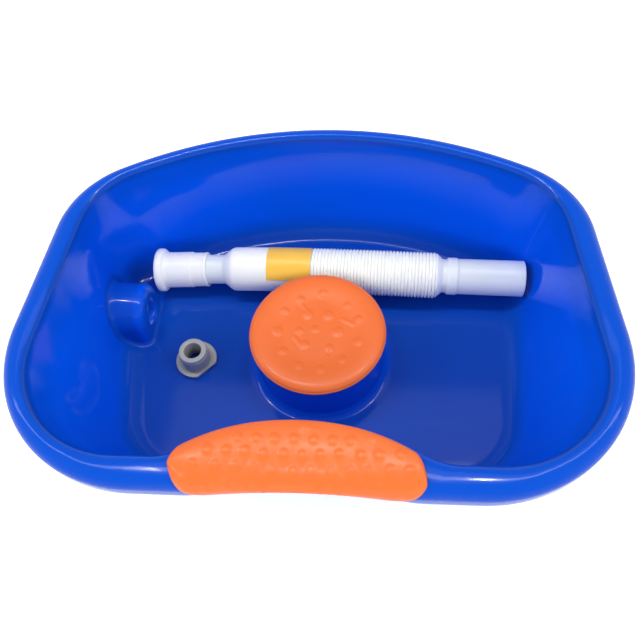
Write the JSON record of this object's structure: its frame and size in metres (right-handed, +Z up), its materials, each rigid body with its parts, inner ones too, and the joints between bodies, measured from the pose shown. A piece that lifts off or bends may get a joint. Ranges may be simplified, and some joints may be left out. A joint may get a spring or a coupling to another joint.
{
  "type": "portable shampoo basin",
  "caption": "Portable hair-washing basin with a rolled rim, padded neck saddle, round headrest on a pedestal, side drain pocket, loose drain spigot and ribbed drain hose.",
  "frame": {"origin": "under the middle of the rim, on the surface that the foot ring stands on", "axes": "+X to the right as seen from the neck side, +Y from the neck saddle to the back wall, +Z up"},
  "size_m": [0.56, 0.404, 0.1549],
  "materials": {
    "shell": "glossy blue moulded plastic",
    "pad": "matte orange soft rubber with low dots",
    "spigot": "grey plastic",
    "cuff": "white soft plastic",
    "hose": "milky white translucent plastic",
    "wrap": "plain yellow film"
  },
  "bodies": {
    "basin": {"basin_rim": "shell", "basin_walls": "shell", "basin_floor": "shell", "pedestal_cup": "shell", "drain_pocket": "shell", "neck_pad": "pad", "headrest_pad": "pad"},
    "hose": {"hose_cuff": "cuff", "hose_neck": "hose", "hose_bellows": "hose", "hose_label": "wrap"},
    "hose_end": {"hose_tail": "hose"},
    "spigot": {"drain_spigot": "spigot"}
  },
  "joints": [
    {"name": "hose_lift", "type": "slide", "parent": "basin", "child": "hose", "axis": [0, 0.0872, 0.9962], "range_m": [0, 0.2]},
    {"name": "hose_stretch", "type": "slide", "parent": "hose", "child": "hose_end", "axis": [0.9994, -0.0277, 0.019], "range_m": [-0.04, 0], "deforming": ["hose_bellows"]},
    {"name": "spigot_lift", "type": "slide", "parent": "basin", "child": "spigot", "axis": [0, 0, 1], "range_m": [0, 0.15]}
  ]
}
